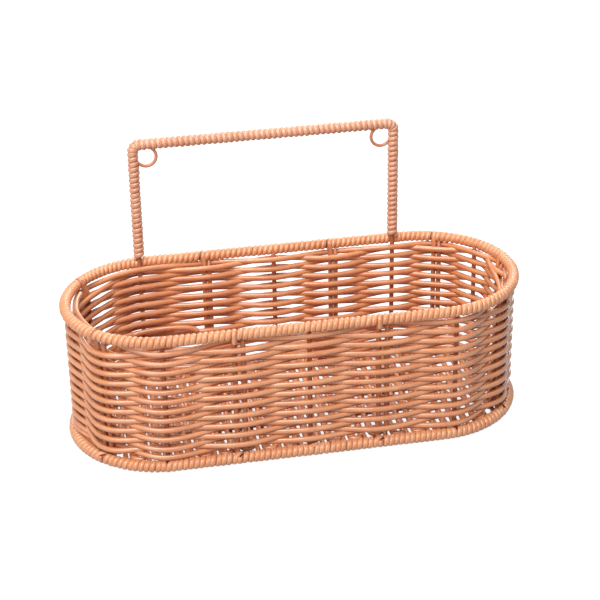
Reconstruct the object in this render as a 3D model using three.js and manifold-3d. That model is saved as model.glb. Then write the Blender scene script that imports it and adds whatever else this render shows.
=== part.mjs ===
// Hanging storage basket, woven from plastic strand on a welded wire frame.
// Millimetres, +Z up. The origin lies on the surface that the basket stands on, in the middle of its
// length (X) and width (Y). The hanger stands at the back, on the +Y side.

import * as THREE from "three";
import { mergeVertices } from "three/addons/utils/BufferGeometryUtils.js";
import Module from "manifold-3d";

const wasm = await Module();
wasm.setup();

// Overall sizes
const basketLength = 300; // outside of the wrapped rim
const basketWidth = 124.8; // outside of the wrapped rim
const wallHeight = 88.3; // from the base ring's wire up to the rim's wire
const hangerRise = 84.7; // from the rim's wire up to the hanger bar's wire
const hangerWidth = 173.3; // between the middles of the two legs
const hangerShift = -6.2; // how far the hanger sits off the middle of the length

// Wire frame
const frameWireDiameter = 3;
const eyeWireDiameter = 2.2;
const hangerBendRadius = 4.5;
const weldOverlap = 1; // how far an upright wire runs past the middle of the ring that it is welded to
const baseWireLift = 1.2; // middle of the base wires above the middle of the base ring
const baseWireShares = [-0.4, 0, 0.4]; // about where they lie, as shares of the ring's end radius

// Hanging eyes in the hanger's upper corners
const eyeRadius = 6.85; // to the middle of the eye's wire
const eyeInset = 8.5; // eye's middle from the middles of the leg and of the bar

// Wrapped coverings, outside diameters
const rimWrapDiameter = 7.4;
const baseWrapDiameter = 7.8;
const hangerWrapDiameter = 7.2;

// Plastic strand
const strandDiameter = 3;
const loopThickness = 2; // a strand is pressed flat where it loops over a ring wire
const loopWidth = 3.2;
const pairSpacing = 4.4; // between the middles of the two strands of a pair
const passHalfLength = 5; // a weaver lies level beside a stake for this far each way
const baseStrandPitch = 7; // between the pairs of runs of the base strands
const baseReachShare = 0.97; // how far the base strands go into the round ends
const weaverTail = 16; // length of a weaver past the left leg, where it ends under the rim
const weaverTailRise = 2.6;
const weaverTailOut = -1; // where it ends, from the middle of the wall

// Clearances and cuts
const fitGap = 0.3;
const cutOverrun = 2;

// Stakes, counted clockwise seen from above: as shares of the way from the left leg to the right leg along
// the back, and then of the way on round the front to the left leg again. Single wires and pairs alternate.
const backStakeShares = [0.26, 0.523, 0.761];
const roundStakeShares = [
  0.0585, 0.112, 0.162, 0.2035, 0.249, 0.331, 0.4225, 0.512, 0.597, 0.687, 0.764, 0.84, 0.916,
];

// Loop of a strand over the rim wire and hook under the base ring wire, in degrees round the wire:
// 0 points out of the basket and 90 points up.
const rimLoopTurn = [-54, 198];
const baseHookTurn = [162, 402];

// Facets
const wireSides = 6;
const strandSides = 5;
const wrapSides = 8;
const slotSides = 4;
const endSteps = 16; // round end of a ring
const loopSteps = 7; // loop or hook of a strand round a wire
const bendSteps = 4; // corner of the hanger
const eyeSteps = 10;
const crossingTurn = THREE.MathUtils.degToRad(24); // longest straight piece of a weaver on a round end

// Sizes that follow from those above
const wireRadius = frameWireDiameter / 2;
const eyeWireRadius = eyeWireDiameter / 2;
const strandRadius = strandDiameter / 2;
const rimWrapRadius = rimWrapDiameter / 2;
const baseWrapRadius = baseWrapDiameter / 2;
const hangerWrapRadius = hangerWrapDiameter / 2;
const endRadius = basketWidth / 2 - rimWrapRadius;
const halfStraight = basketLength / 2 - rimWrapRadius - endRadius;
const wallInset = frameWireDiameter + fitGap;
const wallRadius = endRadius - wallInset;
const roundEnd = Math.PI * wallRadius;
const wallLength = 4 * halfStraight + 2 * roundEnd;
const baseRingZ = baseWrapRadius;
const rimZ = baseRingZ + wallHeight;
const barZ = rimZ + hangerRise;
const hangerWrapFootZ = rimZ + wireRadius + fitGap;
const ringBulge = endRadius / Math.cos(Math.PI / endSteps / 2) - endRadius;
const loopRadius = wireRadius + fitGap + loopThickness / 2 + ringBulge;
const pairOffset = pairSpacing / 2;

const strandMaterial = new THREE.MeshStandardMaterial({ color: 0xe0915f, roughness: 0.42, metalness: 0 });
const wrapMaterial = new THREE.MeshStandardMaterial({ color: 0xe49a6c, roughness: 0.4, metalness: 0 });
const wireMaterial = new THREE.MeshStandardMaterial({ color: 0xc97b56, roughness: 0.5, metalness: 0.1 });

const up = new THREE.Vector3(0, 0, 1);

// Outline of the wall seen from above: straight sides joined by half-round ends. A place on it is its
// distance clockwise from the middle of the back.
function wallAt(distance) {
  const travelled = THREE.MathUtils.euclideanModulo(distance, wallLength);
  const onRightEnd = THREE.MathUtils.clamp(travelled - halfStraight, 0, roundEnd);
  const onLeftEnd = THREE.MathUtils.clamp(travelled - 3 * halfStraight - roundEnd, 0, roundEnd);
  const straight = travelled - onRightEnd - onLeftEnd;
  const turned = (onRightEnd + onLeftEnd) / wallRadius;
  let middleX = straight;
  if (straight > halfStraight) middleX = 2 * halfStraight - straight;
  if (straight > 3 * halfStraight) middleX = straight - 4 * halfStraight;
  const outward = new THREE.Vector3(Math.sin(turned), Math.cos(turned), 0);
  const along = new THREE.Vector3(Math.cos(turned), -Math.sin(turned), 0);
  const place = outward.clone().multiplyScalar(wallRadius);
  place.x += middleX;
  return { place, outward, along, turned };
}

// A point near the wall: its distance round the wall, how far out from the wall's middle, and its height
function nearWall(distance, out, height) {
  const { place, outward } = wallAt(distance);
  return place.addScaledVector(outward, out).setZ(height);
}

// Distance along the back at which the wall has a given X
function backDistanceAt(x) {
  const past = Math.max(Math.abs(x) - halfStraight, 0);
  const straight = Math.min(Math.abs(x), halfStraight);
  return Math.sign(x) * (straight + wallRadius * Math.asin(past / wallRadius));
}

// A closed solid swept along stations. Each station gives its place, the direction `up` of its section and
// the section's half sizes along `up` and across it.
function sweptSolid(stations, sides, closesOnItself = false, firstAngle = 0) {
  const count = stations.length;
  const positions = [];
  const indices = [];
  const neighbour = (index) => {
    if (closesOnItself) return stations[(index + count) % count].place;
    return stations[THREE.MathUtils.clamp(index, 0, count - 1)].place;
  };
  stations.forEach(({ place, up: sectionUp, halfUp, halfAcross }, index) => {
    const arriving = place.clone().sub(neighbour(index - 1)).normalize();
    const leaving = neighbour(index + 1).clone().sub(place).normalize();
    const along = arriving.add(leaving).normalize();
    const across = along.clone().cross(sectionUp).normalize();
    const squareUp = across.clone().cross(along);
    for (let side = 0; side < sides; side += 1) {
      const angle = firstAngle + (2 * Math.PI * side) / sides;
      const corner = place
        .clone()
        .addScaledVector(squareUp, halfUp * Math.cos(angle))
        .addScaledVector(across, halfAcross * Math.sin(angle));
      positions.push(corner.x, corner.y, corner.z);
    }
  });
  const spans = closesOnItself ? count : count - 1;
  for (let span = 0; span < spans; span += 1) {
    const near = span * sides;
    const far = ((span + 1) % count) * sides;
    for (let side = 0; side < sides; side += 1) {
      const next = (side + 1) % sides;
      indices.push(near + side, near + next, far + side);
      indices.push(near + next, far + next, far + side);
    }
  }
  if (!closesOnItself) {
    const last = (count - 1) * sides;
    for (let side = 1; side < sides - 1; side += 1) {
      indices.push(0, side + 1, side);
      indices.push(last, last + side, last + side + 1);
    }
  }
  const geometry = new THREE.BufferGeometry();
  geometry.setAttribute("position", new THREE.Float32BufferAttribute(positions, 3));
  geometry.setIndex(indices);
  geometry.computeVertexNormals();
  return geometry;
}

const roundStation = (place, sectionUp, radius) => ({
  place,
  up: sectionUp,
  halfUp: radius,
  halfAcross: radius,
});

// A wrap or bore has flat faces at its radius, so that its underside is flat and a wire clears it
function wrapStation(place, sectionUp, radius, sides) {
  return roundStation(place, sectionUp, radius / Math.cos(Math.PI / sides));
}

function toManifold(geometry) {
  const bare = geometry.clone();
  bare.deleteAttribute("normal");
  bare.deleteAttribute("uv");
  const merged = mergeVertices(bare);
  return new wasm.Manifold(
    new wasm.Mesh({
      numProp: 3,
      vertProperties: Float32Array.from(merged.getAttribute("position").array),
      triVerts: Uint32Array.from(merged.getIndex().array),
    }),
  );
}

function cutAway(geometry, cutters) {
  let solid = toManifold(geometry);
  for (const cutter of cutters) solid = solid.subtract(toManifold(cutter));
  const { vertProperties, triVerts } = solid.getMesh();
  const result = new THREE.BufferGeometry();
  result.setAttribute("position", new THREE.Float32BufferAttribute(vertProperties, 3));
  result.setIndex(Array.from(triVerts));
  result.computeVertexNormals();
  return result;
}

function addPiece(group, name, geometry, material) {
  const mesh = new THREE.Mesh(geometry, material.clone());
  mesh.name = name;
  group.add(mesh);
  return mesh;
}

// Stakes

const leftLegDistance = backDistanceAt(hangerShift - hangerWidth / 2);
const rightLegDistance = backDistanceAt(hangerShift + hangerWidth / 2);
const legSpan = rightLegDistance - leftLegDistance;
const stakeDistances = [
  leftLegDistance,
  ...backStakeShares.map((share) => leftLegDistance + share * legSpan),
  rightLegDistance,
  ...roundStakeShares.map((share) => rightLegDistance + share * (wallLength - legSpan)),
];
const stakeCount = stakeDistances.length;
const legStakes = [0, backStakeShares.length + 1];
const isPair = (stake) => stake % 2 === 1;

// Rings of the frame and their wraps

function ringStations(height, radius, sides) {
  const stations = [];
  for (const end of [1, -1]) {
    for (let step = 0; step < endSteps; step += 1) {
      const turned = (Math.PI * (step + 1 / 2)) / endSteps;
      const place = new THREE.Vector3(Math.sin(turned), Math.cos(turned), 0)
        .multiplyScalar(end * (endRadius + ringBulge))
        .setZ(height);
      place.x += end * halfStraight;
      stations.push(sides ? wrapStation(place, up, radius, sides) : roundStation(place, up, radius));
    }
  }
  return stations;
}

function ringWire(height) {
  return sweptSolid(ringStations(height, wireRadius), wireSides, true);
}

function ringWrap(height, radius, cutters) {
  const outside = sweptSolid(ringStations(height, radius, wrapSides), wrapSides, true, Math.PI / wrapSides);
  const bore = sweptSolid(ringStations(height, wireRadius + fitGap, wireSides), wireSides, true);
  return cutAway(outside, [bore, ...cutters]);
}

function uprightCutter(distance, fromZ, toZ, radius) {
  const ends = [nearWall(distance, 0, fromZ), nearWall(distance, 0, toZ)];
  const { outward } = wallAt(distance);
  return sweptSolid(ends.map((end) => wrapStation(end, outward, radius, wireSides)), wireSides);
}

// Pairs of strands: one strand runs down the wall, looped over the rim wire and hooked under the base
// ring wire, and a plain strand stands beside it.

const strandShape = {
  radius: loopRadius,
  halfWidth: loopWidth / 2,
  halfThickness: loopThickness / 2,
  runRadius: strandRadius,
  endRun: 0,
};

// The slot that a looped strand lies in goes right through the wrap, from inside its bore
const slotInner = wireRadius / 2;
const slotOuter = baseWrapRadius + cutOverrun;
const slotShape = {
  radius: (slotOuter + slotInner) / 2,
  halfWidth: loopWidth / 2 + fitGap,
  halfThickness: (slotOuter - slotInner) / 2,
  runRadius: strandRadius + fitGap,
  endRun: fitGap,
};

function loopedStrand(stake, shape, sides) {
  const distance = stakeDistances[stake];
  const { along } = wallAt(distance);
  const beside = along.clone().multiplyScalar(-Math.sign(along.x) * pairOffset);
  const at = (out, height) => nearWall(distance, out + wallInset, height).add(beside);
  const reach = 1 / Math.cos(Math.PI / sides);
  const halfUp = shape.halfWidth * (sides === slotSides ? reach : 1);
  const halfAcross = shape.halfThickness * (sides === slotSides ? reach : 1);
  const runRadius = shape.runRadius * reach;
  const roundWire = (height, [from, to]) =>
    Array.from({ length: loopSteps + 1 }, (_, step) => {
      const turned = THREE.MathUtils.degToRad(THREE.MathUtils.lerp(from, to, step / loopSteps));
      const out = shape.radius * Math.cos(turned);
      return { place: at(out, height + shape.radius * Math.sin(turned)), up: along, halfUp, halfAcross };
    });
  const endTurn = THREE.MathUtils.radToDeg(shape.endRun / loopRadius);
  return sweptSolid(
    [
      ...roundWire(rimZ, [rimLoopTurn[0] - endTurn, rimLoopTurn[1]]),
      roundStation(at(-wallInset, rimZ - rimWrapRadius - fitGap), along, runRadius),
      roundStation(at(-wallInset, baseRingZ + baseWrapRadius + fitGap), along, runRadius),
      ...roundWire(baseRingZ, [baseHookTurn[0], baseHookTurn[1] + endTurn]),
    ],
    sides,
    false,
    Math.PI / sides,
  );
}

// Hanger: a bent wire whose legs run down inside the back wall

const leftFoot = wallAt(leftLegDistance).place;
const rightFoot = wallAt(rightLegDistance).place;
const barDirection = rightFoot.clone().sub(leftFoot).normalize();
const hangerNormal = up.clone().cross(barDirection);

function hangerLine(footZ) {
  const points = [leftFoot.clone().setZ(footZ)];
  for (const [foot, side] of [[leftFoot, 1], [rightFoot, -1]]) {
    const corner = [];
    for (let step = 0; step <= bendSteps; step += 1) {
      const angle = (Math.PI / 2) * (step / bendSteps);
      const inward = side * hangerBendRadius * (1 - Math.cos(angle));
      const height = barZ - hangerBendRadius * (1 - Math.sin(angle));
      corner.push(foot.clone().addScaledVector(barDirection, inward).setZ(height));
    }
    points.push(...(side > 0 ? corner : corner.reverse()));
  }
  points.push(rightFoot.clone().setZ(footZ));
  return points;
}

function hangerWire() {
  const line = hangerLine(baseRingZ - weldOverlap);
  return sweptSolid(line.map((point) => roundStation(point, hangerNormal, wireRadius)), wireSides);
}

function eyeArc(side, radius, endRun) {
  const foot = side > 0 ? leftFoot : rightFoot;
  const hidden = wireRadius + fitGap + eyeWireRadius;
  const highAngle = Math.asin((eyeInset - hidden) / eyeRadius) + endRun / eyeRadius;
  const stations = [];
  for (let step = 0; step <= eyeSteps; step += 1) {
    const angle = THREE.MathUtils.lerp(highAngle, -Math.PI / 2 - highAngle, step / eyeSteps);
    const inward = side * (eyeInset + eyeRadius * Math.cos(angle));
    const height = barZ - eyeInset + eyeRadius * Math.sin(angle);
    const place = foot.clone().addScaledVector(barDirection, inward).setZ(height);
    stations.push(roundStation(place, hangerNormal, radius));
  }
  return sweptSolid(stations, wireSides);
}

function hangerWrap() {
  const outside = hangerLine(hangerWrapFootZ).map((point) =>
    wrapStation(point, hangerNormal, hangerWrapRadius, wrapSides),
  );
  const bore = hangerLine(hangerWrapFootZ - cutOverrun).map((point) =>
    wrapStation(point, hangerNormal, wireRadius + fitGap, wireSides),
  );
  const eyeHoles = [1, -1].map((side) => eyeArc(side, eyeWireRadius + fitGap, fitGap));
  return cutAway(sweptSolid(outside, wrapSides, false, Math.PI / wrapSides), [
    sweptSolid(bore, wireSides),
    ...eyeHoles,
  ]);
}

// Wall: two weavers go in and out of the stakes, one outside and the other inside each stake. The one that
// passes outside the pairs lies half a row above the other. Both climb one row between the left leg and the
// next stake, and end just past that leg under the rim.

const rowRoom = wallHeight - rimWrapRadius - baseWrapRadius - fitGap;
const rowCount = Math.floor(rowRoom / (2 * (strandDiameter + fitGap)));
const rowPitch = rowRoom / rowCount;
const firstRowZ = baseRingZ + baseWrapRadius + fitGap / 2 + rowPitch / 2;
const passSag = passHalfLength ** 2 / (2 * wallRadius);
const passOut = wireRadius + fitGap + strandRadius + passSag;

function weaverPoints(firstSide) {
  const points = [];
  const isHigh = firstSide > 0;
  const lastStep = stakeCount * (isHigh ? rowCount - 1 : rowCount);
  const stakeAt = (step) =>
    stakeDistances[step % stakeCount] + wallLength * Math.floor(step / stakeCount);
  const levelAt = (step) =>
    firstRowZ + rowPitch * (Math.floor((step - 1) / stakeCount) + (isHigh ? 1 / 2 : 0));
  for (let step = 1; step <= lastStep; step += 1) {
    const side = step % 2 === 1 ? firstSide : -firstSide;
    points.push(new THREE.Vector3(stakeAt(step) - passHalfLength, side * passOut, levelAt(step)));
    const leaving = new THREE.Vector3(stakeAt(step) + passHalfLength, side * passOut, levelAt(step));
    points.push(leaving);
    if (step === lastStep) break;
    const arriving = new THREE.Vector3(
      stakeAt(step + 1) - passHalfLength,
      -side * passOut,
      levelAt(step + 1),
    );
    const turn = THREE.MathUtils.euclideanModulo(
      wallAt(arriving.x).turned - wallAt(leaving.x).turned,
      2 * Math.PI,
    );
    const pieces = Math.max(Math.ceil(turn / crossingTurn), 1);
    for (let piece = 1; piece < pieces; piece += 1) {
      points.push(leaving.clone().lerp(arriving, piece / pieces));
    }
  }
  const tailZ = levelAt(lastStep) + weaverTailRise;
  points.push(new THREE.Vector3(stakeAt(lastStep) + weaverTail, weaverTailOut, tailZ));
  return points;
}

function weaver(firstSide) {
  const stations = weaverPoints(firstSide).map((point) =>
    roundStation(nearWall(point.x, point.y, point.z), up, strandRadius),
  );
  return sweptSolid(stations, strandSides);
}

// Base: wires along the length, and two strands that run to and fro across them. Their runs lie in pairs.
// One strand passes over the outer wires and under the middle one, the other under and over.

const baseWireZ = baseRingZ + baseWireLift;

// A base wire lies as near its share as it can with a clear way past the stakes in both ends
function baseWireY(share) {
  const blocked = stakeDistances.map((distance, stake) => {
    const reach = isPair(stake) ? pairOffset + strandRadius : wireRadius;
    return { y: wallAt(distance).place.y, room: reach + wireRadius + 2 * fitGap };
  });
  const isClear = (y) => blocked.every((stake) => Math.abs(stake.y - y) >= stake.room);
  for (let shift = 0; shift < endRadius; shift += fitGap) {
    for (const y of [share * endRadius + shift, share * endRadius - shift]) {
      if (isClear(y)) return y;
    }
  }
  throw new Error("no clear way for a base wire");
}

const baseWireYs = baseWireShares.map(baseWireY);
const baseLayerStep = wireRadius + fitGap + strandRadius;
const runOffset = (strandDiameter + fitGap) / 2;
const highEdgeInset = wallInset + passOut + strandRadius + fitGap + strandRadius;
const lowEdgeInset = wallInset + wireRadius + fitGap + strandRadius;

function baseWireReach(y) {
  const clearRadius = endRadius - wireRadius - fitGap;
  return halfStraight + Math.sqrt(clearRadius ** 2 - (Math.abs(y) + wireRadius) ** 2);
}

function baseWireCutter(y) {
  const reach = baseWireReach(y) + fitGap;
  const ends = [-reach, reach].map((x) => new THREE.Vector3(x, y, baseWireZ));
  return sweptSolid(ends.map((end) => wrapStation(end, up, wireRadius + fitGap, wireSides)), wireSides);
}

// Half the length of a run across the base, up to where the strand turns back
function baseRunHalf(x, edgeInset) {
  const past = Math.max(Math.abs(x) - halfStraight, 0);
  return Math.sqrt((endRadius - edgeInset) ** 2 - past ** 2) - baseStrandPitch / 2;
}

// Layer 1 is the strand over the outer wires, layer -1 the one under them. They turn back on opposite
// sides, so that each run has its own end at the ring. Short runs in the round ends keep to their layer.
function baseStrand(layer) {
  const edgeInset = layer > 0 ? highEdgeInset : lowEdgeInset;
  const turnRadius = baseStrandPitch / 2;
  const lastPairX = halfStraight + (endRadius - highEdgeInset) * baseReachShare;
  const runs = 2 * Math.floor(lastPairX / baseStrandPitch) + 1;
  const outerWireY = Math.max(...baseWireYs.map(Math.abs));
  const pairX = (run) => (run - (runs - 1) / 2) * baseStrandPitch;
  const runX = (run) => pairX(run) - layer * runOffset;
  const stations = [];
  const add = (x, y, level) => {
    const place = new THREE.Vector3(x, y, baseWireZ + level * baseLayerStep);
    stations.push(roundStation(place, up, strandRadius));
  };
  for (let run = 0; run < runs; run += 1) {
    const x = runX(run);
    const way = run % 2 === 0 ? layer : -layer;
    add(x, -way * baseRunHalf(x, edgeInset), layer);
    const shorterHalf = baseRunHalf(Math.abs(pairX(run)) + runOffset, highEdgeInset);
    const isLong = shorterHalf > outerWireY + baseLayerStep;
    const crossed = isLong ? baseWireYs : [];
    for (const y of way > 0 ? crossed : [...crossed].reverse()) {
      add(x, y, Math.abs(y) < outerWireY / 2 ? -layer : layer);
    }
    add(x, way * baseRunHalf(x, edgeInset), layer);
    if (run === runs - 1) break;
    const nextX = runX(run + 1);
    for (const share of [1 / 3, 2 / 3]) {
      const half = THREE.MathUtils.lerp(baseRunHalf(x, edgeInset), baseRunHalf(nextX, edgeInset), share);
      const turnX = x + turnRadius * (1 - Math.cos(Math.PI * share));
      add(turnX, way * (half + turnRadius * Math.sin(Math.PI * share)), layer);
    }
  }
  return sweptSolid(stations, strandSides);
}

// Assembly

const basket = new THREE.Group();
const frame = new THREE.Group();
const wraps = new THREE.Group();
const wall = new THREE.Group();
const base = new THREE.Group();
basket.add(frame, wraps, wall, base);

addPiece(frame, "rim_wire", ringWire(rimZ), wireMaterial);
addPiece(frame, "base_ring_wire", ringWire(baseRingZ), wireMaterial);
addPiece(frame, "hanger_wire", hangerWire(), wireMaterial);
addPiece(frame, "hanging_eye_left", eyeArc(1, eyeWireRadius, 0), wireMaterial);
addPiece(frame, "hanging_eye_right", eyeArc(-1, eyeWireRadius, 0), wireMaterial);

const rimCutters = [];
const baseCutters = [];
let uprightNumber = 0;
let pairNumber = 0;
stakeDistances.forEach((distance, stake) => {
  if (isPair(stake)) {
    pairNumber += 1;
    addPiece(wall, `looped_stake_${pairNumber}`, loopedStrand(stake, strandShape, wireSides), strandMaterial);
    const plainHeight = wallHeight - rimWrapRadius - baseWrapRadius - 2 * fitGap;
    const plain = new THREE.CylinderGeometry(strandRadius, strandRadius, plainHeight, wireSides);
    const { along } = wallAt(distance);
    const mesh = addPiece(wall, `plain_stake_${pairNumber}`, plain, strandMaterial);
    mesh.rotation.x = Math.PI / 2;
    mesh.position.copy(nearWall(distance, 0, baseRingZ + baseWrapRadius + fitGap + plainHeight / 2));
    mesh.position.addScaledVector(along, Math.sign(along.x) * pairOffset);
    const slot = loopedStrand(stake, slotShape, slotSides);
    rimCutters.push(slot);
    baseCutters.push(slot);
    return;
  }
  const isLeg = legStakes.includes(stake);
  const cutTop = isLeg ? rimZ + rimWrapRadius + cutOverrun : rimZ + weldOverlap + fitGap;
  rimCutters.push(uprightCutter(distance, rimZ - rimWrapRadius - cutOverrun, cutTop, wireRadius + fitGap));
  const cutFoot = baseRingZ - weldOverlap - fitGap;
  const cutHead = baseRingZ + baseWrapRadius + cutOverrun;
  baseCutters.push(uprightCutter(distance, cutFoot, cutHead, wireRadius + fitGap));
  if (isLeg) {
    const wrapTop = rimZ + rimWrapRadius + cutOverrun;
    rimCutters.push(uprightCutter(distance, hangerWrapFootZ - fitGap, wrapTop, hangerWrapRadius + fitGap));
    return;
  }
  uprightNumber += 1;
  const uprightHeight = wallHeight + 2 * weldOverlap;
  const upright = new THREE.CylinderGeometry(wireRadius, wireRadius, uprightHeight, wireSides);
  const mesh = addPiece(frame, `upright_wire_${uprightNumber}`, upright, wireMaterial);
  mesh.rotation.x = Math.PI / 2;
  mesh.position.copy(nearWall(distance, 0, baseRingZ + wallHeight / 2));
});

baseWireYs.forEach((y, index) => {
  const reach = baseWireReach(y);
  const wire = new THREE.CylinderGeometry(wireRadius, wireRadius, 2 * reach, wireSides);
  const mesh = addPiece(base, `base_wire_${index + 1}`, wire, wireMaterial);
  mesh.rotation.z = Math.PI / 2;
  mesh.position.set(0, y, baseWireZ);
  baseCutters.push(baseWireCutter(y));
});

addPiece(wraps, "rim_wrap", ringWrap(rimZ, rimWrapRadius, rimCutters), wrapMaterial);
addPiece(wraps, "base_ring_wrap", ringWrap(baseRingZ, baseWrapRadius, baseCutters), wrapMaterial);
addPiece(wraps, "hanger_wrap", hangerWrap(), wrapMaterial);
addPiece(wall, "wall_weaver_1", weaver(1), strandMaterial);
addPiece(wall, "wall_weaver_2", weaver(-1), strandMaterial);
addPiece(base, "base_strand_1", baseStrand(1), strandMaterial);
addPiece(base, "base_strand_2", baseStrand(-1), strandMaterial);

export default basket;
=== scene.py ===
import math
import random

import bpy
import numpy as np
from mathutils import Matrix, Vector


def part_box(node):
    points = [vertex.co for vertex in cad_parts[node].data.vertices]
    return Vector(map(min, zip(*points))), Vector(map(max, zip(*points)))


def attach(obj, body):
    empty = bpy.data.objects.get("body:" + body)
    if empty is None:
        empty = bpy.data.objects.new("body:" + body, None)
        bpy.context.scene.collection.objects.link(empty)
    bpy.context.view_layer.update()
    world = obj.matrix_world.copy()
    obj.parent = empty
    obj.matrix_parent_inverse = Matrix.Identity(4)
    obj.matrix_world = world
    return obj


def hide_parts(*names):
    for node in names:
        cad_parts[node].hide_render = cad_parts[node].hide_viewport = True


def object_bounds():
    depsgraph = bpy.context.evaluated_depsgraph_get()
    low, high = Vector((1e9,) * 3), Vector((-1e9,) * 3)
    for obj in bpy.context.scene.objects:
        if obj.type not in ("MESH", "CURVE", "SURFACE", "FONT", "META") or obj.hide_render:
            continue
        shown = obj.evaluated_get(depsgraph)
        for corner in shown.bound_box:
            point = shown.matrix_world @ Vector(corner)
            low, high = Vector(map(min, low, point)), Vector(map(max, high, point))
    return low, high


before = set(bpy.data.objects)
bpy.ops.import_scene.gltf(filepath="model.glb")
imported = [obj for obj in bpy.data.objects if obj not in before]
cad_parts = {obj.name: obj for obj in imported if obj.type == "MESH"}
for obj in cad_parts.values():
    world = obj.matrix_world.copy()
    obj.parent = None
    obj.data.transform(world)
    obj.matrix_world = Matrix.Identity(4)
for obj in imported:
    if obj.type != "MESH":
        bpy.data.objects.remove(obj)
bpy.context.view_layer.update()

# The basket's sizes are in millimetres and become metres when a mesh is made. Materials, lamps and the floor
# are in metres. Angles in a dictionary are in degrees.

mm = 0.001
turn = 2 * math.pi
upward = np.array([0.0, 0.0, 1.0])

# The stock that the basket is made of. A strand that is wound round a wire is flatter where it bears on it.
wire = {"radius": 1.5, "sides": 20}
strand = {"radius": 1.66, "sides": 14, "tip": 1.3}
woundStrand = {"halfWidth": 1.84, "crown": 1.38, "seat": 0.82, "sides": 14, "stepsPerTurn": 28}
solidStrandRadius = 1.5  # of the strands in the frame's solids


# Places from the frame

def boxOf(node):
    low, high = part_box(node)
    return np.array(low) / mm, np.array(high) / mm


def middleOf(node):
    low, high = boxOf(node)
    return (low + high) / 2


def nodesNamed(start):
    return sorted(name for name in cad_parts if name.startswith(start))


rimLow, rimHigh = boxOf("rim_wrap")
baseLow, baseHigh = boxOf("base_ring_wrap")
hangerLow, hangerHigh = boxOf("hanger_wrap")
rimWrapRadius = (rimHigh[2] - rimLow[2]) / 2
baseWrapRadius = (baseHigh[2] - baseLow[2]) / 2
hangerWrapRadius = (hangerHigh[1] - hangerLow[1]) / 2
rimZ = (rimHigh[2] + rimLow[2]) / 2
baseRingZ = (baseHigh[2] + baseLow[2]) / 2
endRadius = (rimHigh[1] - rimLow[1]) / 2 - rimWrapRadius
halfStraight = (rimHigh[0] - rimLow[0]) / 2 - rimWrapRadius - endRadius

uprightNodes = nodesNamed("upright_wire_")
loopedNodes = nodesNamed("looped_stake_")
plainNodes = nodesNamed("plain_stake_")
baseWireNodes = nodesNamed("base_wire_")
wallRadius = max(abs(middleOf(name)[1]) for name in uprightNodes)
wallInset = endRadius - wallRadius


class Outline:
    # An oblong seen from above: straight sides and half-round ends. A place on it is the distance
    # clockwise from the middle of the back.
    def __init__(self, radius):
        self.radius = radius
        self.end = math.pi * radius
        self.length = 4 * halfStraight + 2 * self.end

    def at(self, distance):
        travelled = np.mod(np.asarray(distance, float), self.length)
        onRight = np.clip(travelled - halfStraight, 0, self.end)
        onLeft = np.clip(travelled - 3 * halfStraight - self.end, 0, self.end)
        straight = travelled - onRight - onLeft
        turned = (onRight + onLeft) / self.radius
        middleX = np.where(
            straight <= halfStraight,
            straight,
            np.where(straight <= 3 * halfStraight, 2 * halfStraight - straight, straight - 4 * halfStraight),
        )
        none = np.zeros_like(turned)
        outward = np.stack([np.sin(turned), np.cos(turned), none], -1)
        along = np.stack([np.cos(turned), -np.sin(turned), none], -1)
        place = outward * self.radius
        place[..., 0] += middleX
        return place, outward, along

    def distanceOf(self, point):
        x, y = point[0], point[1]
        if abs(x) <= halfStraight:
            if y > 0:
                return x % self.length
            return 2 * halfStraight + self.end - x
        if x > 0:
            return halfStraight + self.radius * math.atan2(x - halfStraight, y)
        turned = math.atan2(x + halfStraight, y) % turn
        return 3 * halfStraight + self.end + self.radius * (turned - math.pi)

    def near(self, distance, out, height):
        place, outward, _ = self.at(distance)
        point = place + outward * np.asarray(out, float)[..., None]
        point[..., 2] = height
        return point


wall = Outline(wallRadius)
ring = Outline(endRadius)


# Meshes

# A shape is its points, its faces and the UV of each point: round the strand, and along it in metres.
def makePiece(name, shape, slot, node, *materials):
    points, faces, uv = shape
    points = np.asarray(points, np.float32) * mm
    faces = np.asarray(faces, np.int32)
    corners = faces.shape[1]
    mesh = bpy.data.meshes.new(name)
    mesh.vertices.add(len(points))
    mesh.vertices.foreach_set("co", points.ravel())
    mesh.loops.add(faces.size)
    mesh.loops.foreach_set("vertex_index", faces.ravel())
    mesh.polygons.add(len(faces))
    mesh.polygons.foreach_set("loop_start", np.arange(len(faces), dtype=np.int32) * corners)
    mesh.polygons.foreach_set("use_smooth", np.ones(len(faces), bool))
    layer = mesh.uv_layers.new(name="strandUV")
    layer.data.foreach_set("uv", np.asarray(uv, np.float32)[faces.ravel()].ravel())
    mesh.update()
    mesh.validate()
    piece = bpy.data.objects.new(name, mesh)
    bpy.context.scene.collection.objects.link(piece)
    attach(piece, "root")
    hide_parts(node)
    for material in materials:
        mesh.materials.append(material)
    return piece


# A section is a list of places round the strand, each by its height above the middle and its place sideways.
def roundSection(sides, halfUp, halfAcross):
    angle = np.arange(sides) * turn / sides
    return np.stack([np.cos(angle) * halfUp, np.sin(angle) * halfAcross], -1)


def crownedSection(sides, halfWidth, crown, seat):
    angle = np.arange(sides) * turn / sides
    rise = np.cos(angle) * np.where(np.cos(angle) > 0, crown, seat)
    return np.stack([rise, np.sin(angle) * halfWidth], -1)


wireSection = roundSection(wire["sides"], wire["radius"], wire["radius"])
strandSection = roundSection(strand["sides"], strand["radius"], strand["radius"])
woundSection = crownedSection(
    woundStrand["sides"], woundStrand["halfWidth"], woundStrand["crown"], woundStrand["seat"]
)


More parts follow.
